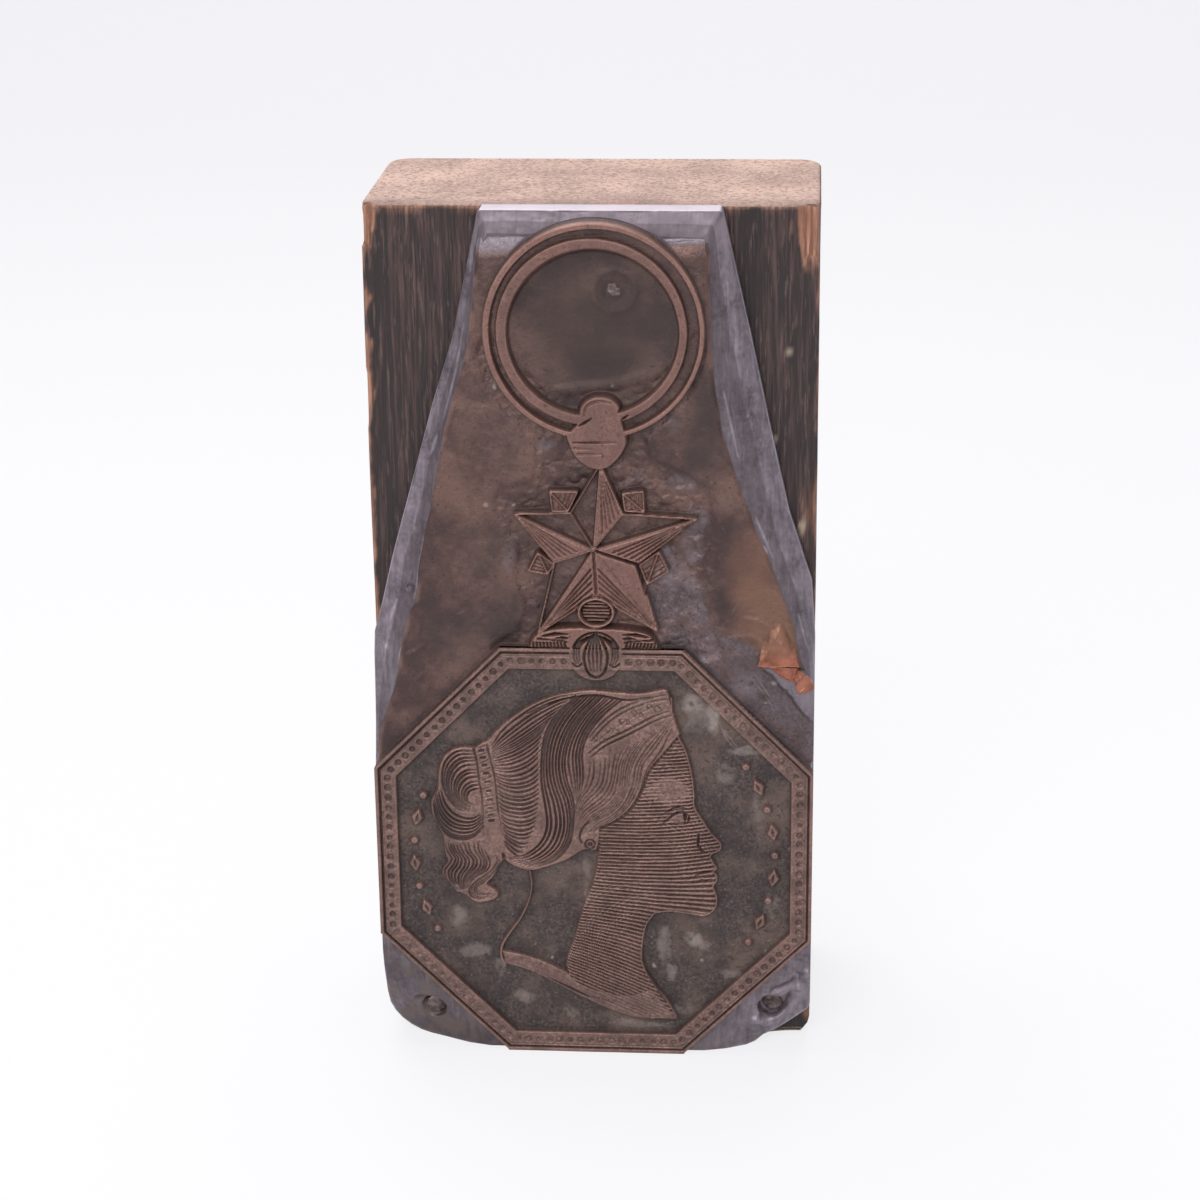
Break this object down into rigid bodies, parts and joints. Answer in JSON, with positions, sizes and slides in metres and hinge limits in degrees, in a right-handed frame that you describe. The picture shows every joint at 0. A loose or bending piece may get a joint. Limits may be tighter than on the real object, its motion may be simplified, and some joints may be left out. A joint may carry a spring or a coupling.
{
  "type": "letterpress printing block",
  "caption": "Hardwood block with a nailed electrotype plate: a tapering copper and type-metal face with a ring, a star and a framed portrait medal in relief.",
  "frame": {"origin": "middle of the foot: halfway across the width and halfway between printing face and bed face, at the level it stands on", "axes": "+Z from the foot of the image to its head, -Y the way the printing face looks, +Y the way the bed face looks, +X to the viewer's right when the printing face is looked at"},
  "size_m": [0.0382, 0.0234, 0.0762],
  "materials": {
    "wood": "planed hardwood, dark with ink",
    "type_metal": "cast and trimmed type metal, dull grey",
    "copper": "grown copper, brown with age and ink",
    "nail_steel": "iron wire nail, dull"
  },
  "bodies": {
    "root": {"wood_mount": "wood", "type_metal_backing": "type_metal", "copper_shell": "copper", "mounting_nails": "nail_steel"}
  },
  "joints": []
}
